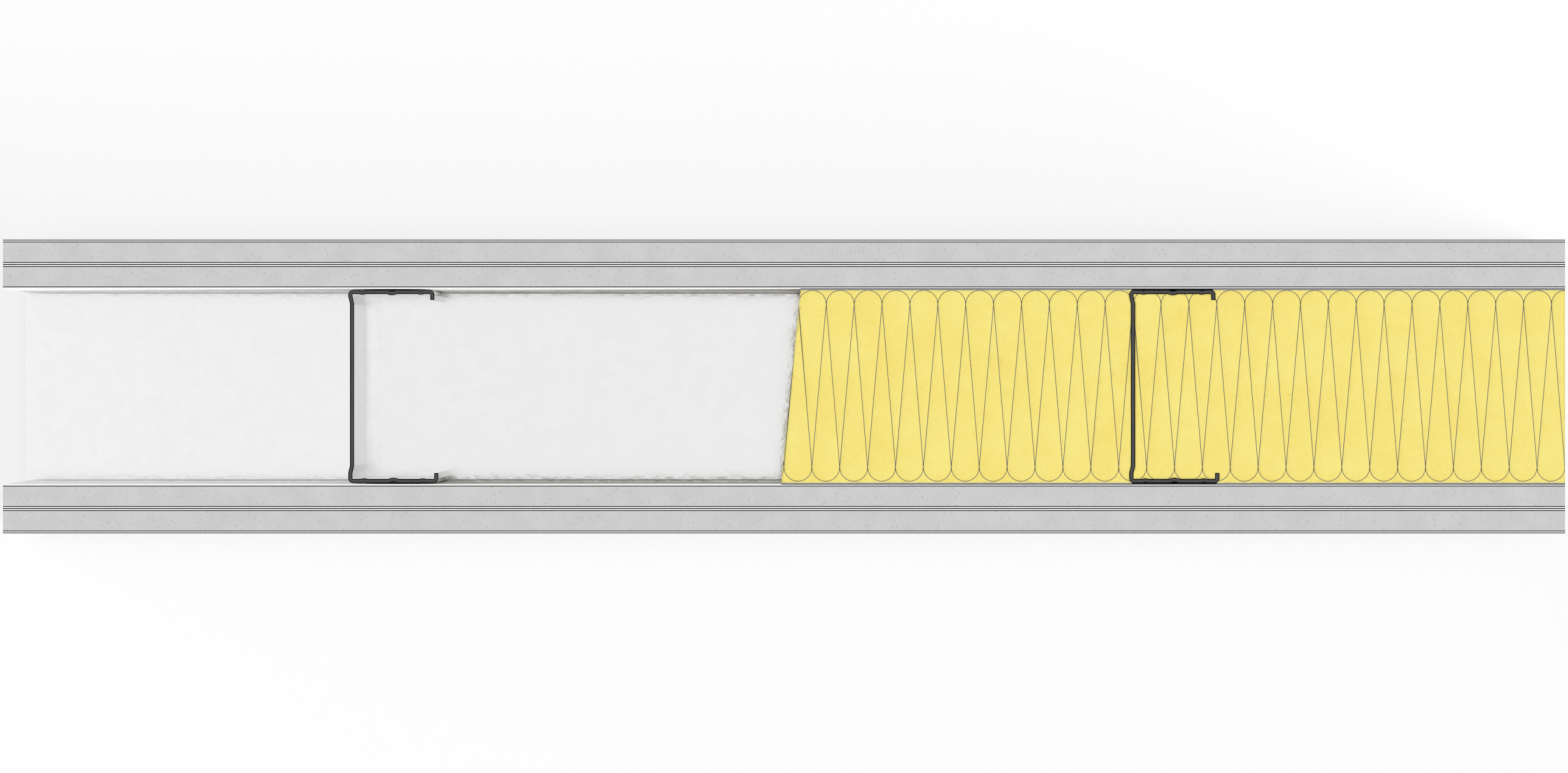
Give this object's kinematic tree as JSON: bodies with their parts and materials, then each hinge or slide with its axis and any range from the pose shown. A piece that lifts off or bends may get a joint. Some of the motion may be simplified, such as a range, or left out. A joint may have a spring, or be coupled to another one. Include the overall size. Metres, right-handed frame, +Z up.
{
  "type": "drywall partition wall",
  "caption": "Cut length of metal stud partition: double gypsum boards on each face, C studs standing in a floor track, mineral wool in part of the cavity.",
  "frame": {"origin": "on the floor, midway along the wall and midway through it", "axes": "+X along the wall, the way the studs open; +Y through it, towards its back; +Z up"},
  "size_m": [0.8, 0.15, 0.5],
  "materials": {
    "gypsum": "matt, fine pores",
    "board_paper": "matt paper",
    "stud_steel": "zinc coated, cut edges dark",
    "track_steel": "zinc coated, bright",
    "mineral_wool": "yellow fibre, crimped",
    "foam": "closed cell foam"
  },
  "bodies": {
    "root": {"sealing_strip": "foam", "floor_track": "track_steel", "stud_left": "stud_steel", "stud_right": "stud_steel", "wool_bay_batt": "mineral_wool", "wool_stud_batt": "mineral_wool", "front_outer_core": "gypsum", "front_outer_face_paper": "board_paper", "front_outer_back_paper": "board_paper", "front_inner_core": "gypsum", "front_inner_face_paper": "board_paper", "front_inner_back_paper": "board_paper", "back_inner_core": "gypsum", "back_inner_face_paper": "board_paper", "back_inner_back_paper": "board_paper", "back_outer_core": "gypsum", "back_outer_face_paper": "board_paper", "back_outer_back_paper": "board_paper"}
  },
  "joints": []
}
